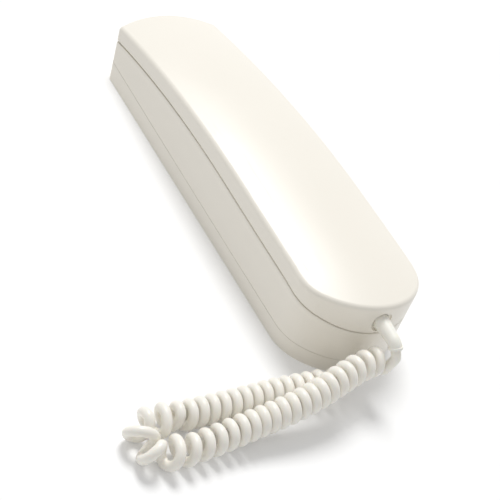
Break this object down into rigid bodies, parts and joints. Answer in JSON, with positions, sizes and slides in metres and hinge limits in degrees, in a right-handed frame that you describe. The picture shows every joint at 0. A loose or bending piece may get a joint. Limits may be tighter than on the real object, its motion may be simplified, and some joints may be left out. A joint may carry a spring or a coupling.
{
  "type": "audio intercom handset",
  "caption": "Wall-mounted audio intercom: a long slab handset hung on a slim base, with ear and mouth cups inside, a spring hook plunger, a door button and a curly cord.",
  "frame": {"origin": "middle of the body's box, on the flat rear face that goes against the wall", "axes": "+Z out from the wall through the handset's front, +Y toward the ear end, -Y toward the cord end, +X to the right of someone facing the front with the ear end up"},
  "size_m": [0.1687, 0.2565, 0.0421],
  "materials": {
    "ivory_plastic": "fine texture",
    "cord_jacket": "smooth, soft",
    "boot_rubber": "smooth",
    "dark_rubber": "dull",
    "screw_steel": "zinc plated",
    "spring_steel": "drawn wire",
    "capsule_metal": "satin",
    "board_laminate": "solder mask",
    "terminal_plastic": "moulded",
    "black_plastic": "moulded",
    "can_metal": "sleeved"
  },
  "bodies": {
    "base": {"wall_plate": "ivory_plastic", "base_housing": "ivory_plastic", "housing_screws": "screw_steel", "circuit_board": "board_laminate", "board_screws": "screw_steel", "terminal_block": "terminal_plastic", "terminal_screws": "screw_steel", "buzzer": "black_plastic", "board_capacitors": "can_metal", "board_chip": "black_plastic", "hook_switch": "black_plastic", "hook_spring": "spring_steel", "door_switch": "black_plastic", "base_strain_relief": "boot_rubber", "base_cord_lead": "cord_jacket", "curly_cord": "cord_jacket", "handset_cord_lead": "cord_jacket"},
    "handset": {"handset_front_shell": "ivory_plastic", "handset_inner_shell": "ivory_plastic", "handset_screws": "screw_steel", "earpiece_gasket": "dark_rubber", "earpiece_capsule": "black_plastic", "microphone_boot": "dark_rubber", "microphone_capsule": "capsule_metal", "handset_strain_relief": "boot_rubber"},
    "hook_plunger": {"hook_plunger": "ivory_plastic"},
    "hook_lever": {"hook_switch_lever": "spring_steel"},
    "door_button": {"door_button": "ivory_plastic"},
    "door_switch_stem": {"door_switch_stem": "black_plastic"}
  },
  "joints": [
    {"name": "handset_lift", "type": "slide", "parent": "base", "child": "handset", "axis": [0, 0, 1], "range_m": [0, 0.04]},
    {"name": "hook_plunger_rise", "type": "slide", "parent": "base", "child": "hook_plunger", "axis": [0, 0, 1], "range_m": [0, 0.004], "deforming": ["hook_spring"]},
    {"name": "hook_lever_tilt", "type": "hinge", "parent": "base", "child": "hook_lever", "pos_m": [0.0191, -0.035, 0.0168], "axis": [0, 1, 0], "range_deg": [0, 8.6]},
    {"name": "door_button_press", "type": "slide", "parent": "base", "child": "door_button", "axis": [0, 0, -1], "range_m": [0, 0.001], "stiffness_N_per_m": 400, "springref_m": -0.0005},
    {"name": "door_switch_press", "type": "slide", "parent": "base", "child": "door_switch_stem", "axis": [0, 0, -1], "range_m": [0, 0.001]}
  ],
  "couplings": [
    {"joint": "hook_plunger_rise", "follows": "handset_lift", "ratio": 0.1},
    {"joint": "hook_lever_tilt", "follows": "handset_lift", "rad_per_m": 3.75},
    {"joint": "door_switch_press", "follows": "door_button_press", "ratio": 1}
  ]
}
